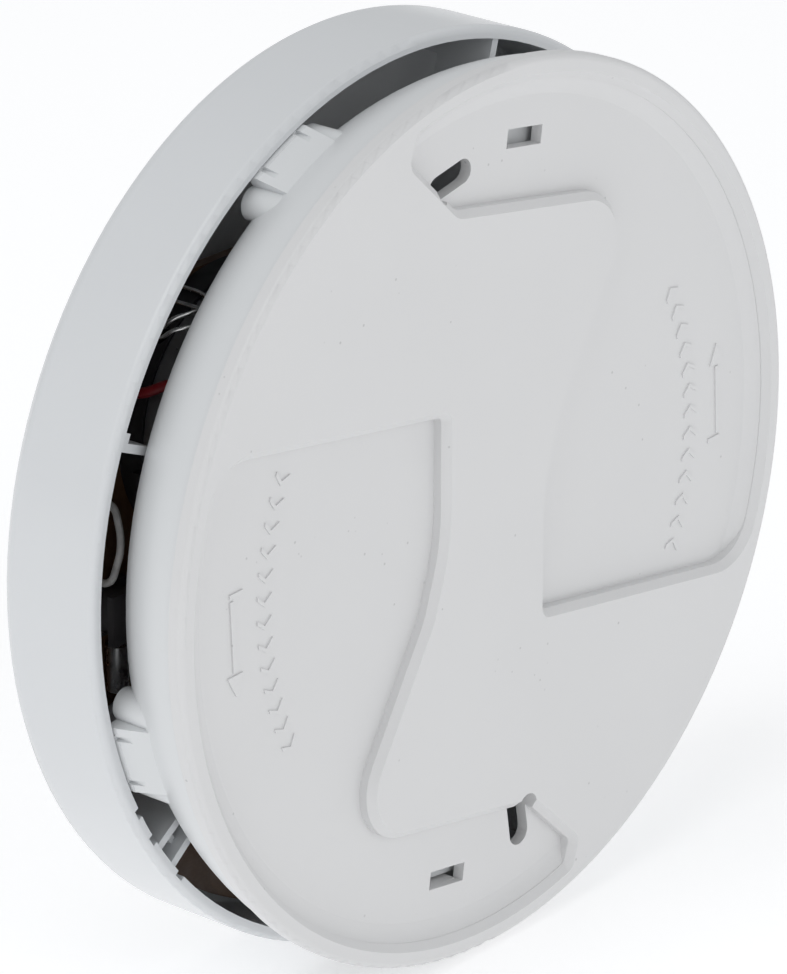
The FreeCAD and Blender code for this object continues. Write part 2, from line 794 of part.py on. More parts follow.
def cover_inside():
    """Ribs and the seats of the housing's tabs on the inside of the cover."""
    inner = "cover_radius - cover_wall + 0.3"
    pieces = []
    rib_orbit = size("cover_radius") - size("cover_wall") - size("rib_height") / 2 + 0.2
    rib_depths = ("cover_start + 0.6", "cover_edge_start + 1.6")
    tall_height = size("cover_radius") - size("cover_wall") + 0.2 - size("rib_foot_radius")
    foot_depths = ("cover_start + 0.6", "board_start - rib_foot_gap")
    for angle in RIB_ANGLES:
        x, z = on_orbit(rib_orbit, angle)
        pieces.append(block("rib_height", "rib_thickness", *rib_depths, x, z, angle))
        x, z = on_orbit(size("rib_foot_radius") + tall_height / 2, angle)
        pieces.append(block(tall_height, "rib_thickness", *foot_depths, x, z, angle))
    leg_angle = RIB_ANGLES[0] + 0.9
    pieces.append(sector(inner, "cover_radius - cover_wall - 1.6", *foot_depths, leg_angle, 1.8))
    for angle in TAB_ANGLES:
        pieces.append(sector(inner, "tab_radius - 0.9", "tab_end + 0.15", "tab_end + 1.6", angle, 8.0))
    first, last = RIB_ANGLES[-2:]
    panel_outer = "cover_radius - cover_wall - 2.6"
    pieces.append(
        sector(panel_outer, f"{panel_outer} - 1.0", "cover_start + 2.3", "cover_edge_start + 1.6",
               (first + last) / 2, last - first)
    )
    return pieces


def front_cover():
    """The glossy outer cover with openings for the button, the status light and the sounder."""
    collar_inner = "button_radius + 1.7"
    collar = tube("button_radius + 3.2", collar_inner, "28", "cover_end - 1.2")
    light_collar = tube(
        "pipe_radius + 2.3", "pipe_radius + 1.1", "29.5", "cover_end - 1.4", 0, "-light_z"
    )
    solid = fuse(cover_shell(), collar, light_collar, *cover_inside())
    openings = [cylinder("button_radius + button_gap", "20", "cover_end + 2")]
    openings.append(cylinder("pipe_radius + 0.05", "20", "cover_end + 2", 0, "-light_z"))
    slot_width = 1.6
    slot_pitch = 3.6
    field_radius = 13.0
    for row in range(-3, 4):
        z = row * slot_pitch
        length = 2 * math.sqrt(field_radius ** 2 - z ** 2)
        reach = (length - slot_width) / 2
        openings.append(block(2 * reach, slot_width, "cover_end - 5", "cover_end + 2", "-sounder_x", z))
        for side in (-1, 1):
            end = f"-sounder_x + {side * reach:.4f}"
            openings.append(cylinder(slot_width / 2, "cover_end - 5", "cover_end + 2", end, z))
    for angle in TAB_ANGLES:
        groove = ("tab_radius + tab_nib + 0.15", "tab_radius - 1", "nib_start - 0.15", "nib_end + 0.15")
        openings.append(sector(*groove, angle, 8.0))
    for angle in NOTCH_ANGLES:
        x, z = on_orbit(size("cover_radius") - size("cover_wall"), angle)
        openings.append(block("1.4", "1.6", "cover_start - 1", "cover_start + 1.3", x, z, angle))
    subpart(cut(solid, *openings), "front_cover")


# --- circuit board and its parts -------------------------------------------------------------

def circuit_board():
    """The printed circuit board, with a straight left edge beside the battery tray."""
    area = block("board_left + board_radius", "2 * board_half_height", "board_start", "board_end",
                 "(board_radius - board_left) / 2")
    outline = common(area, cylinder("board_radius", "board_start - 1", "board_end + 1"))
    lobes = []
    for middle, span in ((304.7, 30.0), (332.5, 10.4)):
        depths = ("board_start", "board_end")
        lobes.append(sector("board_lobe_radius", "board_radius - 6", *depths, middle, span))
    outline = fuse(outline, *lobes)
    holes = []
    for x, z in POSTS:
        holes.append(cylinder("screw_radius + 0.3", "board_start - 1", "board_end + 1", x, z))
    subpart(cut(outline, *holes), "circuit_board")


def board_screws():
    """The self-tapping screws that hold the board to the housing's posts."""
    screws = []
    for x, z in POSTS:
        middle = "board_end + screw_head_height / 2"
        top = "board_end + screw_head_height"
        head = fuse(
            cylinder("screw_radius", "board_start - screw_depth", "board_end + 0.2", x, z),
            cylinder("screw_head_radius", "board_end", middle, x, z),
            cone("screw_head_radius", "screw_head_radius - 0.9", middle, top, x, z),
        )
        cross = [
            block("0.6", "2.4", f"{top} - 0.9", f"{top} + 1", x, z, 30),
            block("2.4", "0.6", f"{top} - 0.9", f"{top} + 1", x, z, 30),
        ]
        screws.append(cut(head, *cross))
    subpart(group(*screws), "board_screws")


def chip_components():
    """The small parts soldered to the back of the board, which faces the wall."""
    body = block("10", "4", "board_start - 1.7", "board_start - 0.2", 5, -12, 90)
    pins = []
    for row in range(8):
        x, z = 5, -12 + (row - 3.5) * 1.27
        pins.append(block("6.0", "0.4", "board_start - 0.5", "board_start", x, f"{z:.3f}"))
    subpart(fuse(body, *pins), "microcontroller")

    small = [(14, -8, 0), (14, -12, 0), (14, -16, 0), (-4, -20, 90), (0, -24, 90), (24, -18, 45),
             (28, -22, 45), (36, -12, 0), (40, -16, 0), (44, -8, 90)]
    resistors = [block("2.0", "1.25", "board_start - 0.55", "board_start", *place) for place in small]
    subpart(group(*resistors), "resistors")

    places = [(18, -10, 90), (18, -15, 90), (-4, -8, 0), (30, -30, 0), (42, -20, 90), (20, -26, 0)]
    capacitors = [block("2.0", "1.25", "board_start - 1.2", "board_start", *place) for place in places]
    subpart(group(*capacitors), "ceramic_capacitors")

    transistors = []
    for x, z, turn in ((33, -16, 0), (12, -24, 90), (26, -34, 0)):
        package = block("2.9", "1.3", "board_start - 1.1", "board_start - 0.1", x, z, turn)
        legs = block("1.9", "2.4", "board_start - 0.3", "board_start", x, z, turn)
        transistors.append(fuse(package, legs))
    subpart(group(*transistors), "transistors")

    crystal_x, crystal_z = 50.0, -11.4
    can = fuse(
        lying("1.5", "-3.2", "3.2", crystal_x, crystal_z, "board_start - 1.6", 90),
        block("0.8", "5.6", "board_start - 0.4", "board_start", crystal_x, crystal_z),
    )
    subpart(can, "crystal_can")

    coil_x, coil_z = 50.8, -3.0
    base = block("7", "7", "board_start - 1.2", "board_start", coil_x, coil_z)
    top = block("7", "7", "board_start - 5", "board_start - 4", coil_x, coil_z)
    core = cylinder("3.3", "board_start - 4.2", "board_start - 1", coil_x, coil_z)
    subpart(fuse(base, core, top), "boost_inductor")

    can_x, can_z = 20.0, -33.0
    sleeve = cylinder("3.15", "board_start - 8.6", "board_start", can_x, can_z)
    groove = tube("4", "2.9", "board_start - 1.9", "board_start - 1.3", can_x, can_z)
    top_round = cone("2.7", "3.15", "board_start - 9", "board_start - 8.6", can_x, can_z)
    subpart(fuse(cut(sleeve, groove), top_round), "reservoir_capacitor")


# --- sensing chamber -------------------------------------------------------------------------

def chamber_cylinder(radius, start, end):
    """A cylinder round the middle of the sensing chamber."""
    return cylinder(radius, start, end, "chamber_x", "chamber_z")


def chamber_base():
    """The dark base of the chamber: a well, and channels for the light emitter and sensor."""
    disc = chamber_cylinder("chamber_radius", "chamber_base_start", "board_start - 0.1")
    well = chamber_cylinder("chamber_well", "chamber_base_start - 1", "optic_depth + optic_radius")
    channels = []
    for angle in (EMITTER_ANGLE, SENSOR_ANGLE):
        channels.append(lying("optic_radius + 0.1", "chamber_well - 2", "chamber_radius + 2",
                              "chamber_x", "chamber_z", "optic_depth", angle))
    subpart(cut(disc, well, *channels), "chamber_base")


def chamber_labyrinth():
    """The ring of angled vanes that lets smoke in and keeps light out."""
    start = "chamber_cap_end"
    ring = tube("chamber_radius - 1", "chamber_radius - 6", start, f"{start} + 0.8",
                "chamber_x", "chamber_z")
    vane_count = 18
    vane_orbit = size("chamber_radius") - 3.4
    vanes = []
    for index in range(vane_count):
        angle = 360.0 * index / vane_count
        x, z = on_orbit(vane_orbit, angle)
        place = (f"chamber_x + {x:.4f}", f"chamber_z + {z:.4f}")
        vanes.append(block("4.4", "0.9", start, "chamber_base_start - 0.1", *place, angle + 42.0))
    subpart(fuse(ring, *vanes), "chamber_labyrinth")


def chamber_cap():
    """The lid of the chamber, held to the base by three legs."""
    disc = fuse(
        cone("chamber_radius - 0.8", "chamber_radius", "chamber_start", "chamber_start + 0.6",
             "chamber_x", "chamber_z"),
        chamber_cylinder("chamber_radius", "chamber_start + 0.6", "chamber_cap_end"),
    )
    legs = []
    for angle in (105.0, 225.0, 345.0):
        legs.append(sector("chamber_radius + 0.9", "chamber_radius - 0.1", "chamber_start + 0.6",
                           "chamber_base_start + 1", angle, 14.0, "chamber_x", "chamber_z"))
    rim = tube("chamber_radius + 0.9", "chamber_radius - 0.1", "chamber_start + 0.6",
               "chamber_cap_end", "chamber_x", "chamber_z")
    base_part = chamber_cylinder("chamber_radius + 0.05", "chamber_cap_end", "board_start")
    subpart(cut(fuse(disc, rim, *legs), base_part), "chamber_cap")


def insect_screen():
    """The fine screen between the vanes and the legs of the cap."""
    subpart(
        tube("chamber_radius - 0.3", "chamber_radius - 0.6", "chamber_cap_end + 0.9",
             "chamber_base_start - 0.1", "chamber_x", "chamber_z"),
        "insect_screen",
    )


def optic(name, angle):
    """A 3 mm light emitter or sensor in its channel, and the two leads that carry it."""
    tip = 10.2
    heel = 15.2
    place = ("chamber_x", "chamber_z", "optic_depth", angle)
    bullet = lying("optic_radius", tip, heel - 0.8, *place)
    tip_edge = nearest_edge(bullet, "chamber_x", "chamber_z", "optic_depth")
    domed = fillet(bullet, tip_edge, "optic_radius - 0.1")
    subpart(fuse(domed, lying("optic_radius + 0.08", heel - 0.8, heel, *place)), name)
    level = size("optic_depth")
    board = size("board_start")
    past_edge = size("chamber_radius") + 1.15
    landing = past_edge + 1.3
    loop = level - 2.8
    leads = []
    for sign in (-1, 1):
        offset = sign * size("optic_lead_pitch") / 2
        path = [(heel, offset, level), (past_edge, offset, level)]
        if angle == SENSOR_ANGLE:
            path += [(past_edge, offset, loop), (landing, offset, loop), (landing, offset, board)]
        elif sign > 0:
            path += [(22.5, -0.3, 20.0), (24.3, 1.0, 18.0), (23.3, 2.8, 16.3), (20.8, 5.2, 16.6),
                     (19.1, 7.2, 19.5), (19.1, 7.2, board)]
        else:
            path += [(21.9, -1.3, 20.0), (23.1, -0.1, 18.0), (22.5, 1.1, 16.2), (20.9, 2.4, 16.3),
                     (20.5, 4.6, 17.5), (20.5, 4.6, board)]
        points = []
        for distance, sideways, depth in path:
            along = Vector(*on_orbit(distance, angle), 0)
            across = Vector(*on_orbit(sideways, angle + 90), 0)
            spot = along + across
            points.append((size("chamber_x") + spot.x, size("chamber_z") + spot.y, depth))
        leads.append(wire("thin_lead_radius", points))
    subpart(group(*leads), name + "_leads")


# --- batteries -------------------------------------------------------------------------------

def battery_cell(label, side, direction):
    """One AA cell: side says which bay it lies in, direction which way its positive end points."""
    x = f"-tray_x + {side} * cell_pitch / 2"
    contact = "tray_length / 2 - contact_thickness"
    body_end = f"{contact} - cell_nub"
    nub_end = f"{contact} - 0.02"
    angle = 90 * direction
    can = lying("cell_radius", f"{body_end} - cell_length", body_end, x, 0, "cell_depth", angle)
    nub = lying("2.7", f"{body_end} - 1", nub_end, x, 0, "cell_depth", angle)
    groove = cut(
        lying("cell_radius + 1", f"{body_end} - 1.6", f"{body_end} - 1.2", x, 0, "cell_depth", angle),
        lying("cell_radius - 0.2", f"{body_end} - 2", f"{body_end} + 1", x, 0, "cell_depth", angle),
    )
    subpart(cut(fuse(can, nub), groove), label)


def battery_contacts():
    """The sheet-metal contacts at the ends of the tray and the springs soldered to them."""
    top = "tray_length / 2 - contact_thickness / 2"
    for label, side in (("contact_positive", 1), ("contact_negative", -1)):
        x = f"-tray_x + {side} * cell_pitch / 2"
        plate = block("10", "contact_thickness", "7.2", "18.2", x, top)
        tongue = block("2.4", "4.2", "8.3", "8.3 + contact_thickness", x, "tray_length / 2 + 1.9")
        subpart(fuse(plate, tongue), label)
    link = block("cell_pitch + 10", "contact_thickness", "7.2", "18.2", "-tray_x", f"-({top})")
    subpart(link, "contact_link")
    wire_radius = size("spring_wire_radius")
    seat = size("tray_length") / 2 - size("contact_thickness")
    room = size("tray_length") - 2 * size("contact_thickness") - size("cell_nub") - size("cell_length")
    springs = []
    for side, end in ((-1, 1), (1, -1)):
        middle = -size("tray_x") + side * size("cell_pitch") / 2

        def towards_cell(across, deeper, along):
            """A point of the spring that starts at one end of the tray and runs to the cell."""
            return middle + across, end * (seat - wire_radius - along), size("cell_depth") + deeper

        springs.append(coil(4.2, room - 2 * wire_radius, 3, towards_cell))
    subpart(group(*springs), "battery_springs")


def battery_leads():
    """The two leads that are soldered to the contacts' tongues and run along the floor to the board."""
    tongue_z = 30.2
    along_floor = 7.6
    board = size("board_start")
    red = [
        (-22.6, tongue_z, along_floor),
        (12.0, tongue_z, along_floor),
        (28.0, 40.0, along_floor),
        (43.0, 34.4, along_floor),
        (46.0, 30.2, 11.0),
        (46.3, 29.0, 15.5),
        (48.2, 26.6, 20.0),
        (48.2, 26.6, board),
    ]
    subpart(wire("lead_radius", red), "battery_lead_red")
    black = [
        (-37.4, tongue_z, along_floor),
        (-33.0, tongue_z, along_floor),
        (-28.5, 33.4, 8.6),
        (-16.5, 33.4, 9.7),
        (-12.9, 30.6, 9.7),
        (-5.5, 28.2, 9.7),
        (-5.5, 28.2, board),
    ]
    subpart(wire("lead_radius", black), "battery_lead_black")


def jumper_wire():
    """The white wire that loops from one side of the board to the other behind the cover's edge."""
    board = size("board_start")
    loop = [
        (51.4, 12.0, board),
        (51.4, 12.0, 21.6),
        (53.0, 7.8, 18.8),
        (53.2, 1.6, 20.8),
        (53.2, 1.6, board),
    ]
    subpart(wire("jumper_radius", loop), "white_jumper_wire")


# --- sounder ---------------------------------------------------------------------------------

def sounder():
    """The sounder: its housing, gasket, brass disc, ceramic, retaining ring and two wires."""
    place = ("-sounder_x", 0)
    inner = "sounder_radius - sounder_wall"
    gasket_end = "disc_end + 0.4"
    wall = tube("sounder_radius", inner, "sounder_start", "sounder_end", *place)
    face = cylinder("sounder_radius", "sounder_end - 1", "sounder_end", *place)
    ledge = tube(f"{inner} + 0.2", f"{inner} - 1.6", gasket_end, "sounder_end - 0.5", *place)
    outlet = tube("8.2", "7.0", "sounder_end - 0.5", "30.4", *place)
    hole = cylinder("4.5", "sounder_end - 2", "sounder_end + 1", *place)
    notch = block("5", "13", "sounder_start - 1", "sounder_start + 2.2", "-sounder_x + sounder_radius")
    subpart(cut(fuse(wall, face, ledge, outlet), hole, notch), "sounder_housing")
    subpart(tube(f"{inner} - 0.3", f"{inner} - 1.4", "disc_end", gasket_end, *place), "sounder_gasket")
    subpart(cylinder("disc_radius", "disc_start", "disc_end", *place), "piezo_disc")
    subpart(cylinder("12", "disc_start - 0.25", "disc_start", *place), "piezo_ceramic")
    subpart(tube(f"{inner} - 0.1", f"{inner} - 2.2", "disc_start - 1.5", "disc_start", *place),
            "sounder_retainer")
    radius = size("thin_lead_radius")
    disc_start = size("disc_start")
    over_tray = size("sounder_start") + 1.1
    for label, z, start_x, start_depth in (
        ("sounder_wire_red", 4.5, -30.0, disc_start - 0.25 - radius),
        ("sounder_wire_black", -4.5, -23.2, disc_start - radius),
    ):
        points = [
            (start_x, z, start_depth),
            (start_x + 0.9, z, start_depth),
            (start_x + 2.3, z, over_tray),
            (-9.4, z, over_tray),
            (-9.4, z, size("board_start")),
        ]
        subpart(wire("thin_lead_radius", points), label)


# --- test button, switch and status light ----------------------------------------------------

def test_button():
    """The round button in the middle of the cover, with a skirt, a stop flange and a stem."""
    body = new_body("button_body")
    sketch = new_sketch(body, "XZ_Plane")
    face = size("button_end")
    outer = size("button_radius")
    edge = 0.8
    half = math.sqrt(0.5)
    flange = outer + 1.3
    flange_front = 32.0
    skirt_end = 30.9
    skirt_inside = outer - 1.4
    under = face - 2.0
    stem = 2.2
    stem_end = 31.85
    edge_middle = (outer - edge * (1 - half), face - edge * (1 - half))
    corners = [
        (outer, face - edge),
        (outer, flange_front),
        (flange, flange_front),
        (flange, skirt_end),
        (skirt_inside, skirt_end),
        (skirt_inside, under),
        (stem, under),
        (stem, stem_end),
        (0, stem_end),
        (0, face - 0.25),
    ]
    edges = [line(corners[i], corners[i + 1]) for i in range(len(corners) - 1)]
    dish = ((outer - edge) / 2, face - 0.2)
    edges.append(arc((0, face - 0.25), dish, (outer - edge, face)))
    edges.append(arc((outer - edge, face), edge_middle, (outer, face - edge)))
    draw_outline(sketch, edges)
    revolve(body, sketch)
    subpart(body, "test_button")


def button_spring():
    """The spring between the board and the button."""
    wire_radius = size("spring_wire_radius")
    start = size("board_end") + wire_radius
    length = size("button_end") - 2.0 - wire_radius - start

    def towards_button(across, up, along):
        """A point of the spring that starts on the board and runs to the button."""
        return across, up, start + along

    subpart(coil(6.0, length, 4, towards_button), "button_spring")


def switch():
    """The small switch under the button, with its plunger in a running fit."""
    width = "switch_width"
    case = block(width, width, "board_end", "switch_end", 0, 0)
    corners = []
    for turn in (45, 135, 225, 315):
        x, z = on_orbit(size("switch_width") * math.sqrt(0.5), turn)
        corners.append(block("0.8", "0.8", "board_end - 1", "switch_end + 1", f"{x:.4f}", f"{z:.4f}", 45))
    bore_start = "switch_end - 1 - plunger_travel - 0.1"
    bore = cylinder("plunger_radius + plunger_gap", bore_start, "switch_end + 1")
    subpart(cut(case, bore, *corners), "tact_switch")
    plunger = fuse(
        cylinder("plunger_radius", "switch_end - 1", "switch_end + 0.7"),
        cone("plunger_radius", "plunger_radius - 0.2", "switch_end + 0.7", "switch_end + 0.9"),
    )
    subpart(plunger, "switch_plunger")


def status_light():
    """The light on the board and the clear pipe that carries it to the cover's face."""
    place = (0, "-light_z")
    bullet = cylinder("1.5", "board_end", "board_end + 4.5", *place)
    tip_edge = nearest_edge(bullet, 0, -size("light_z"), "board_end + 4.5")
    light = fuse(fillet(bullet, tip_edge, "1.4"), cylinder("1.9", "board_end", "board_end + 1", *place))
    subpart(light, "status_led")
    pipe = fuse(
        cylinder("pipe_radius", "cover_end - 3", "cover_end - 0.4", *place),
        cone("pipe_radius", "pipe_radius - 0.4", "cover_end - 0.4", "cover_end - 0.1", *place),
        cylinder("pipe_radius + 0.7", "cover_end - 3", "cover_end - 2.3", *place),
    )
    subpart(pipe, "light_pipe")


# --- everything ------------------------------------------------------------------------------

def build():
    """Make every sub-part."""
    mounting_plate()
    rear_housing()
    front_cover()
    circuit_board()
    board_screws()
    chip_components()
    chamber_base()
    chamber_labyrinth()
    chamber_cap()
    insect_screen()
    optic("infrared_emitter", EMITTER_ANGLE)
    optic("photodiode", SENSOR_ANGLE)
    battery_cell("battery_cell_inner", 1, 1)
    battery_cell("battery_cell_outer", -1, -1)
    battery_contacts()
    battery_leads()
    jumper_wire()
    sounder()
    test_button()
    button_spring()
    switch()
    status_light()


def check_and_export():
    """Stop if anything failed, then write one STEP file for each sub-part."""
    doc.recompute()
    for item in doc.Objects:
        if "Invalid" in item.State or "Error" in item.State:
            raise RuntimeError(f"{item.Name} ({item.Label}) did not build: {item.getStatusString()}")
    os.makedirs("parts", exist_ok=True)
    for item in SUBPARTS:
        if item.Shape.isNull() or not item.Shape.isValid():
            raise RuntimeError(f"{item.Label} has no valid shape")
        item.Shape.exportStep(os.path.join("parts", item.Label + ".step"))
        print(f"{item.Label}: {len(item.Shape.Solids)} solid(s), {item.Shape.Volume:.1f} mm3")


build()
check_and_export()
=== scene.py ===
"""Smoke detector, seen from behind: materials, fine detail, light and camera round the CAD frame."""
import json
import math

import bmesh
import bpy
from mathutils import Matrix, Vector


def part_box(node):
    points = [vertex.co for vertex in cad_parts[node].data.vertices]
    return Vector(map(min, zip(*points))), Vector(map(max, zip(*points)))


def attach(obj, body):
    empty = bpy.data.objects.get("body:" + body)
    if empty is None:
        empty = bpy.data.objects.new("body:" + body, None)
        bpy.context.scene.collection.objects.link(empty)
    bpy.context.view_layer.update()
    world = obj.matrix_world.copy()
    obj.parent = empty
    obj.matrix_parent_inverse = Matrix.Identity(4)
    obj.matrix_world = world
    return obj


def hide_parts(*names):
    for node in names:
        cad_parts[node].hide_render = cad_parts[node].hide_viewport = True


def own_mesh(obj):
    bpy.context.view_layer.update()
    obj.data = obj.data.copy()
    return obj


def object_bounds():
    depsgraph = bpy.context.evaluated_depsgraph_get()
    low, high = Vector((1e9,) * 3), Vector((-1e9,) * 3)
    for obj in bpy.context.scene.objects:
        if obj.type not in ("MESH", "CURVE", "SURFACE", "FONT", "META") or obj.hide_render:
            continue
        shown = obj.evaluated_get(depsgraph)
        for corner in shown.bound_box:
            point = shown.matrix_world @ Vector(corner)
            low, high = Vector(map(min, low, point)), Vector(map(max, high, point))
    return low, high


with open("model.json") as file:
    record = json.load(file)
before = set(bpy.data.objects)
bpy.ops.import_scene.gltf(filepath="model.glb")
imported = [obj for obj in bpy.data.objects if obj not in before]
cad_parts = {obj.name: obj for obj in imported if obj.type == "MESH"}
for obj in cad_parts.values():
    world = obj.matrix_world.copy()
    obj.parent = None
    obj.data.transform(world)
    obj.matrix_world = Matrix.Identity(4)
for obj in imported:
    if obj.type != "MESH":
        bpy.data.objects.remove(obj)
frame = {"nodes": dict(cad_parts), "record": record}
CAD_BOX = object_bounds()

NODES = frame["nodes"]
MM = 0.001
SPRING_WIRE = 0.3 * MM

# --- camera ----------------------------------------------------------------------------------

AZIMUTH = 130.2
ELEVATION = 22.12
LENS = 221.8
CAMERA_DISTANCE = 0.805
AIM = Vector((2.6, -16.0, 0.9)) * MM


def add_camera():
    """A long lens behind the plate, to its left and a little above."""
    data = bpy.data.cameras.new("camera")
    data.lens = LENS
    data.sensor_width = 36.0
    data.clip_start = 0.02
    data.clip_end = 20.0
    item = bpy.data.objects.new("camera", data)
    bpy.context.scene.collection.objects.link(item)
    azimuth = math.radians(AZIMUTH)
    elevation = math.radians(ELEVATION)
    level = math.cos(elevation)
    back = Vector((math.sin(azimuth) * level, -math.cos(azimuth) * level, math.sin(elevation)))
    item.location = AIM + back * CAMERA_DISTANCE
    item.rotation_euler = back.to_track_quat("Z", "Y").to_euler()
    bpy.context.scene.camera = item


# --- materials -------------------------------------------------------------------------------

class Surface:
    """A Principled material and short calls that add procedural detail to it."""

    def __init__(self, name, colour, rough, metallic=0.0, ior=1.5):
        self.material = bpy.data.materials.new(name)
        self.material.use_nodes = True
        self.tree = self.material.node_tree
        self.shader = self.tree.nodes["Principled BSDF"]
        self.shader.inputs["Metallic"].default_value = metallic
        self.shader.inputs["IOR"].default_value = ior
        self.shader.inputs["Base Color"].default_value = (*colour, 1.0)
        self.shader.inputs["Roughness"].default_value = rough
        self.colour = colour
        self.rough = rough
        self.coordinates = self.node("ShaderNodeTexCoord").outputs["Object"]
        self.height = None

    def node(self, kind, **settings):
        item = self.tree.nodes.new(kind)
        for name, value in settings.items():
            setattr(item, name, value)
        return item

    def link(self, source, target):
        self.tree.links.new(source, target)

    def stretched(self, scale):
        """The object's coordinates, scaled along each axis."""
        mapping = self.node("ShaderNodeMapping")
        mapping.inputs["Scale"].default_value = scale
        self.link(self.coordinates, mapping.inputs["Vector"])
        return mapping.outputs["Vector"]

    def noise(self, scale, detail=3.0, roughness=0.5, vector=None):
        """Noise whose scale is in features per metre."""
        item = self.node("ShaderNodeTexNoise")
        item.inputs["Scale"].default_value = scale
        item.inputs["Detail"].default_value = detail
        item.inputs["Roughness"].default_value = roughness
        self.link(vector or self.coordinates, item.inputs["Vector"])
        return item.outputs["Fac"]

    def dots(self, scale, radius, vector=None):
        """1 inside scattered round dots, 0 elsewhere; the radius is a share of their spacing."""
        item = self.node("ShaderNodeTexVoronoi")
        item.inputs["Scale"].default_value = scale
        item.inputs["Randomness"].default_value = 1.0
        self.link(vector or self.coordinates, item.inputs["Vector"])
        return self.ramp(item.outputs["Distance"], radius * 0.6, radius, 1.0, 0.0)

    def ramp(self, source, low, high, at_low, at_high):
        """Map a range to another range, held at its ends."""
        item = self.node("ShaderNodeMapRange", clamp=True)
        item.inputs["From Min"].default_value = low
        item.inputs["From Max"].default_value = high
        item.inputs["To Min"].default_value = at_low
        item.inputs["To Max"].default_value = at_high
        self.link(source, item.inputs["Value"])
        return item.outputs["Result"]

    def calculate(self, operation, first, second):
        item = self.node("ShaderNodeMath", operation=operation)
        for socket, value in zip(item.inputs, (first, second)):
            if isinstance(value, (int, float)):
                socket.default_value = value
            else:
                self.link(value, socket)
        return item.outputs["Value"]

    def tint(self, factor, colour):
        """Blend the base colour towards another colour where the factor is 1."""
        item = self.node("ShaderNodeMix", data_type="RGBA")
        base = self.shader.inputs["Base Color"]
        if base.links:
            self.link(base.links[0].from_socket, item.inputs["A"])
        else:
            item.inputs["A"].default_value = tuple(base.default_value)
        item.inputs["B"].default_value = (*colour, 1.0)
        self.link(factor, item.inputs["Factor"])
        self.link(item.outputs["Result"], base)
        return self

    def clouds(self, amount, scale):
        """Slow, faint changes of shade across the surface."""
        darker = tuple(channel * (1.0 - amount) for channel in self.colour)
        return self.tint(self.ramp(self.noise(scale, 4.0), 0.4, 0.62, 0.0, 1.0), darker)

    def rough_patches(self, spread, scale):
        """Slow changes of gloss across the surface."""
        low = max(self.rough - spread, 0.02)
        value = self.ramp(self.noise(scale, 5.0, 0.6), 0.35, 0.65, low, self.rough + spread)
        self.link(value, self.shader.inputs["Roughness"])
        return self

    def add_height(self, value, metres):
        """Add a relief of so many metres to the bump."""
        scaled = self.calculate("MULTIPLY", value, metres)
        self.height = scaled if self.height is None else self.calculate("ADD", self.height, scaled)
        return self

    def finish(self):
        """Connect the relief that was collected and give the material back."""
        if self.height is not None:
            bump = self.node("ShaderNodeBump")
            bump.inputs["Strength"].default_value = 1.0
            bump.inputs["Distance"].default_value = 1.0
            self.link(self.height, bump.inputs["Height"])
            self.link(bump.outputs["Normal"], self.shader.inputs["Normal"])
        return self.material


def moulded(name, colour, rough, grain=2200.0, grain_height=4e-6, specks=0.0):
    """Injection-moulded plastic: fine grain, slow shade and gloss changes, and a few specks."""
    surface = Surface(name, colour, rough)
    surface.clouds(0.012, 35.0)
    surface.rough_patches(0.012, 90.0)
    surface.add_height(surface.noise(grain, 2.0), grain_height)
    surface.add_height(surface.noise(60.0, 2.0), 2.0e-5)
    if specks:
        darker = tuple(channel * 0.45 for channel in colour)
        rare = surface.ramp(surface.noise(70.0, 0.0), 0.60, 0.64, 0.0, specks)
        surface.tint(surface.calculate("MULTIPLY", surface.dots(420.0, 0.10), rare), darker)
    return surface


def metal(name, colour, rough, line_scale=(40.0, 2500.0, 40.0), line_height=2e-6):
    """Bare or plated metal with drawing lines and uneven gloss."""
    surface = Surface(name, colour, rough, metallic=1.0)
    surface.clouds(0.12, 300.0)
    surface.rough_patches(0.08, 500.0)
    lines = surface.noise(1.0, 3.0, vector=surface.stretched(line_scale))
    surface.add_height(lines, line_height)
    return surface


def plate_material():
    surface = moulded("plate_satin_white", (0.715, 0.715, 0.718), 0.42, 1800.0, 5e-6, 0.4)
    return surface.finish()


def housing_material():
    surface = moulded("housing_satin_white", (0.715, 0.73, 0.74), 0.34, 2400.0, 3e-6)
    return surface.finish()


def cover_material():
    surface = moulded("cover_gloss_white", (0.715, 0.73, 0.745), 0.24, 2600.0, 1.5e-6)
    return surface.finish()


def laminate_material():
    """Brown paper laminate with fine fibres and slightly raised printed areas."""
    surface = Surface("brown_laminate", (0.115, 0.062, 0.034), 0.42)
    fibres = surface.noise(1.0, 3.0, vector=surface.stretched((1400.0, 1400.0, 2600.0)))
    surface.tint(surface.ramp(fibres, 0.45, 0.65, 0.0, 0.5), (0.145, 0.083, 0.048))
    areas = surface.ramp(surface.noise(150.0, 0.0), 0.50, 0.51, 0.0, 0.6)
    surface.tint(areas, (0.16, 0.085, 0.04))
    surface.add_height(areas, 3e-5)
    surface.add_height(fibres, 8e-6)
    surface.rough_patches(0.08, 400.0)
    return surface.finish()


def insulation(name, colour):
    """Soft wire insulation with faint rings and a dull sheen."""
    surface = Surface(name, colour, 0.38)
    surface.clouds(0.25, 400.0)
    surface.rough_patches(0.1, 600.0)
    surface.add_height(surface.noise(1500.0, 3.0), 8e-6)
    return surface.finish()


def clear(name, colour, rough):
    """Clear moulded resin with slight waves inside."""
    surface = Surface(name, colour, rough, ior=1.49)
    surface.shader.inputs["Transmission Weight"].default_value = 0.92
    surface.rough_patches(0.03, 900.0)
    surface.add_height(surface.noise(700.0, 2.0), 6e-6)
    return surface.finish()


def dark_moulding(name, colour, rough):
    surface = Surface(name, colour, rough)
    surface.clouds(0.3, 150.0)
    surface.rough_patches(0.08, 300.0)
    surface.add_height(surface.noise(3000.0, 2.0), 6e-6)
    return surface.finish()


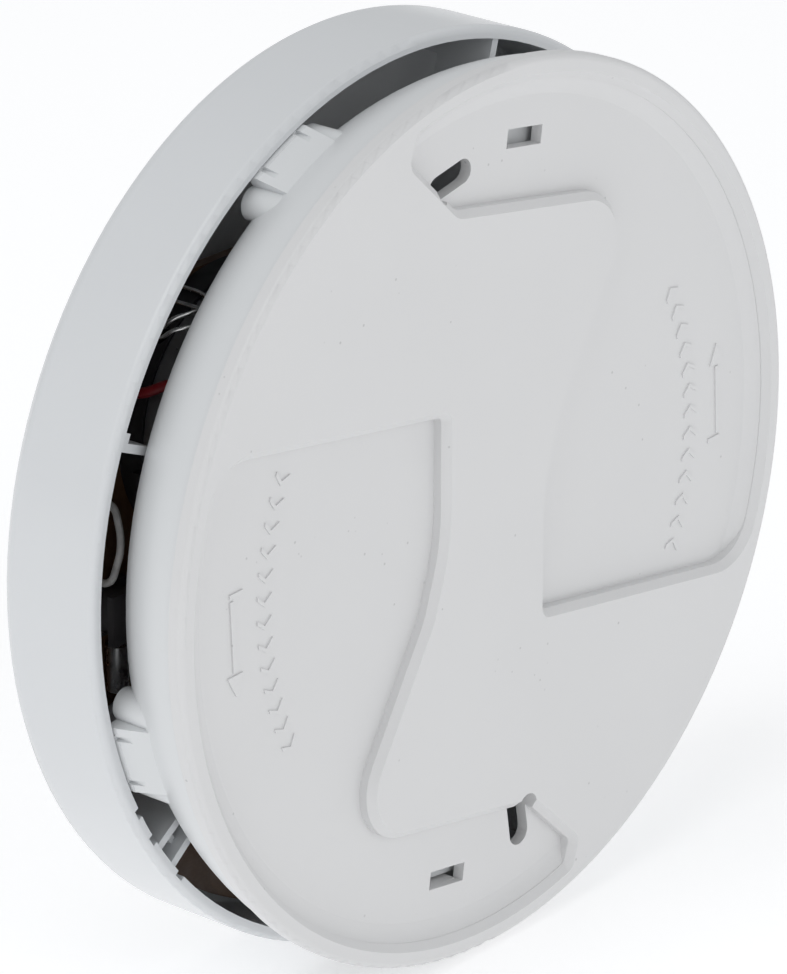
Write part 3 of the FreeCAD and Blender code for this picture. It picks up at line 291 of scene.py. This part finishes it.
def cell_material():
    """Printed wrap of an AA cell: dark with a coloured band."""
    surface = Surface("cell_wrap", (0.035, 0.04, 0.05), 0.3)
    surface.shader.inputs["Coat Weight"].default_value = 0.6
    parts = surface.node("ShaderNodeSeparateXYZ")
    surface.link(surface.coordinates, parts.inputs["Vector"])
    along = surface.calculate("ABSOLUTE", parts.outputs["Z"], 0.0)
    surface.tint(surface.ramp(along, 0.0150, 0.0152, 0.0, 1.0), (0.32, 0.20, 0.06))
    surface.clouds(0.2, 120.0)
    surface.rough_patches(0.06, 260.0)
    surface.add_height(surface.noise(900.0, 2.0), 8e-6)
    return surface.finish()


def materials():
    """Every material by its record slot."""
    return {
        "plate_plastic": plate_material(),
        "housing_plastic": housing_material(),
        "cover_plastic": cover_material(),
        "button_plastic": moulded("button_gloss_white", (0.75, 0.75, 0.765), 0.22, 2600.0, 2e-6).finish(),
        "board_laminate": laminate_material(),
        "zinc_screw": metal("zinc_plate", (0.60, 0.61, 0.63), 0.28).finish(),
        "chip_black": dark_moulding("chip_epoxy", (0.028, 0.028, 0.03), 0.5),
        "ceramic_tan": dark_moulding("fired_ceramic", (0.33, 0.24, 0.15), 0.4),
        "can_metal": metal("drawn_can", (0.92, 0.92, 0.92), 0.30).finish(),
        "ferrite": dark_moulding("lacquered_ferrite", (0.075, 0.072, 0.075), 0.38),
        "capacitor_sleeve": metal("bare_aluminium_can", (0.80, 0.80, 0.81), 0.16).finish(),
        "chamber_black": dark_moulding("matt_black_moulding", (0.018, 0.018, 0.02), 0.6),
        "screen_metal": metal("woven_wire", (0.35, 0.35, 0.36), 0.35).finish(),
        "optic_clear": clear("clear_epoxy", (0.80, 0.86, 0.95), 0.08),
        "optic_black": dark_moulding("dark_epoxy", (0.02, 0.02, 0.028), 0.12),
        "tinned_wire": metal("tinned_wire", (0.74, 0.74, 0.73), 0.2).finish(),
        "cell_label": cell_material(),
        "contact_metal": metal("nickel_plate", (0.66, 0.64, 0.60), 0.22).finish(),
        "wire_red": insulation("red_insulation", (0.17, 0.004, 0.007)),
        "wire_black": insulation("black_insulation", (0.02, 0.02, 0.021)),
        "wire_white": insulation("white_insulation", (0.72, 0.71, 0.69)),
        "sounder_plastic": dark_moulding("sounder_black", (0.03, 0.03, 0.032), 0.45),
        "gasket": dark_moulding("foam_gasket", (0.09, 0.09, 0.09), 0.85),
        "disc_brass": metal("disc_brass", (0.72, 0.50, 0.20), 0.25).finish(),
        "ceramic_silvered": metal("silvered_ceramic", (0.72, 0.72, 0.70), 0.42).finish(),
        "spring_steel": metal("spring_steel", (0.56, 0.56, 0.57), 0.25).finish(),
        "led_red": clear("red_epoxy", (0.75, 0.05, 0.04), 0.12),
        "pipe_clear": clear("clear_acrylic", (0.90, 0.94, 0.96), 0.06),
    }


def dress_nodes(surfaces):
    """Give every CAD node the material of its slot, and smooth its round faces."""
    smooth_below = math.radians(32.0)
    for entry in frame["record"]["subparts"]:
        item = NODES[entry["node"]]
        item.data.materials.clear()
        item.data.materials.append(surfaces[entry["material_slot"]])
        item.data.shade_smooth()
        item.data.set_sharp_from_angle(angle=smooth_below)


# --- fine detail -----------------------------------------------------------------------------

def add_piece(name, mesh, surfaces, slot):
    """A piece that rides with the detector and takes its finish from a record slot."""
    item = bpy.data.objects.new(name, mesh)
    bpy.context.scene.collection.objects.link(item)
    mesh.materials.clear()
    mesh.materials.append(surfaces[slot])
    mesh.shade_smooth()
    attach(item, "detector")
    return item


def swept_mesh(name, points, radius):
    """A round wire along points, as a mesh."""
    curve = bpy.data.curves.new(name + "_path", "CURVE")
    curve.dimensions = "3D"
    curve.bevel_depth = radius
    curve.bevel_resolution = 5
    curve.use_fill_caps = True
    run = curve.splines.new("POLY")
    run.points.add(len(points) - 1)
    for spot, point in zip(run.points, points):
        spot.co = (*point, 1.0)
    carrier = bpy.data.objects.new(name + "_carrier", curve)
    mesh = bpy.data.meshes.new_from_object(carrier)
    mesh.name = name
    bpy.data.objects.remove(carrier)
    return mesh


def add_button_spring(surfaces):
    """The button's spring with closed end coils."""
    low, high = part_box("button_spring")
    wire = SPRING_WIRE
    coil = (high.x - low.x) / 2 - wire
    middle = (low + high) / 2
    length = (high.y - low.y) - 2 * wire
    closed = 1.0
    turns = 5.5
    closed_rise = 2.1 * wire
    steps = 260
    points = []
    for step in range(steps + 1):
        turned = turns * step / steps
        if turned < closed:
            rise = closed_rise * turned / closed
        elif turned > turns - closed:
            rise = length - closed_rise * (turns - turned) / closed
        else:
            share = (turned - closed) / (turns - 2 * closed)
            rise = closed_rise + (length - 2 * closed_rise) * share
        angle = 2 * math.pi * turned
        points.append((
            middle.x + coil * math.cos(angle),
            high.y - wire - rise,
            middle.z + coil * math.sin(angle),
        ))
    spring = add_piece("button_return_spring", swept_mesh("button_return_spring", points, wire),
                       surfaces, "spring_steel")
    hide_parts("button_spring")
    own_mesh(spring)


def landings(node, level):
    """Where a node's wires meet the board, as (x, z) centres with the wire's radius."""
    touching = 0.02 * MM
    same_wire = 2.0 * MM
    spots = []
    for vertex in NODES[node].data.vertices:
        if abs(vertex.co.y - level) > touching:
            continue
        here = Vector((vertex.co.x, vertex.co.z))
        for cluster in spots:
            if (cluster[0] - here).length < same_wire:
                cluster.append(here)
                break
        else:
            spots.append([here])
    found = []
    for cluster in spots:
        centre = sum(cluster, Vector((0.0, 0.0))) / len(cluster)
        found.append((centre, max((point - centre).length for point in cluster)))
    return found


def solder_mesh(name, centre, level, wire):
    """A small concave cone of solder round a wire, standing on the board."""
    profile = [(wire + 0.50 * MM, 0.0), (wire + 0.30 * MM, 0.12 * MM), (wire + 0.14 * MM, 0.32 * MM),
               (wire + 0.05 * MM, 0.60 * MM), (wire * 0.9, 0.72 * MM)]
    sides = 28
    shape = bmesh.new()
    rings = []
    for radius, height in profile:
        ring = []
        for step in range(sides):
            angle = 2 * math.pi * step / sides
            wobble = 1.0 + 0.04 * math.sin(3 * angle + centre.x * 900.0)
            x = centre.x + radius * wobble * math.cos(angle)
            z = centre.y + radius * wobble * math.sin(angle)
            ring.append(shape.verts.new((x, level + height, z)))
        rings.append(ring)
    for lower, upper in zip(rings, rings[1:]):
        for step in range(sides):
            after = (step + 1) % sides
            shape.faces.new((lower[step], lower[after], upper[after], upper[step]))
    shape.faces.new(rings[-1])
    shape.faces.new(list(reversed(rings[0])))
    bmesh.ops.recalc_face_normals(shape, faces=shape.faces)
    mesh = bpy.data.meshes.new(name)
    shape.to_mesh(mesh)
    shape.free()
    return mesh


def add_solder(surfaces):
    """Solder where the wires meet the board's rear face."""
    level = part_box("circuit_board")[1].y
    nodes = ["battery_lead_red", "battery_lead_black", "white_jumper_wire", "infrared_emitter_leads",
             "photodiode_leads"]
    for node in nodes:
        for number, (centre, wire) in enumerate(landings(node, level)):
            name = f"solder_{node}_{number}"
            add_piece(name, solder_mesh(name, centre, level, wire), surfaces, "tinned_wire")


# --- studio ----------------------------------------------------------------------------------

def add_floor():
    """A plain pale floor that glows a little, as a light table does."""
    mesh = bpy.data.meshes.new("floor")
    reach = 6.0
    level = CAD_BOX[0].z - 0.2 * MM
    corners = [(-reach, -reach, level), (reach, -reach, level), (reach, reach, level), (-reach, reach, level)]
    mesh.from_pydata(corners, [], [(0, 1, 2, 3)])
    item = bpy.data.objects.new("floor", mesh)
    bpy.context.scene.collection.objects.link(item)
    surface = Surface("pale_floor", (0.90, 0.90, 0.905), 0.7)
    surface.shader.inputs["Emission Color"].default_value = (1.0, 1.0, 1.0, 1.0)
    surface.shader.inputs["Emission Strength"].default_value = 0.36
    surface.clouds(0.01, 2.0)
    mesh.materials.append(surface.finish())


def add_light(name, place, size, power, colour=(1.0, 1.0, 1.0)):
    """A square soft light that faces the object."""
    data = bpy.data.lights.new(name, "AREA")
    data.shape = "SQUARE"
    data.size = size
    data.energy = power
    data.color = colour
    item = bpy.data.objects.new(name, data)
    bpy.context.scene.collection.objects.link(item)
    item.location = place
    item.rotation_euler = (Vector(place) - AIM).to_track_quat("Z", "Y").to_euler()


def light_studio():
    """An even pale surround, with soft light from the left, from behind the plate and from above."""
    world = bpy.data.worlds.new("surround")
    world.use_nodes = True
    background = world.node_tree.nodes["Background"]
    background.inputs["Color"].default_value = (0.97, 0.985, 1.0, 1.0)
    background.inputs["Strength"].default_value = 0.56
    bpy.context.scene.world = world
    add_light("left_soft", (1.3, -0.5, 0.7), 1.0, 1.2)
    add_light("rear_soft", (0.2, 1.6, 0.9), 1.1, 3.9)
    add_light("top_soft", (0.9, 0.0, 1.5), 1.2, 5.4)
    bpy.context.scene.view_settings.view_transform = "Standard"
    bpy.context.scene.view_settings.look = "None"


# --- everything ------------------------------------------------------------------------------

add_camera()
SURFACES = materials()
dress_nodes(SURFACES)
add_button_spring(SURFACES)
add_solder(SURFACES)
add_floor()
light_studio()
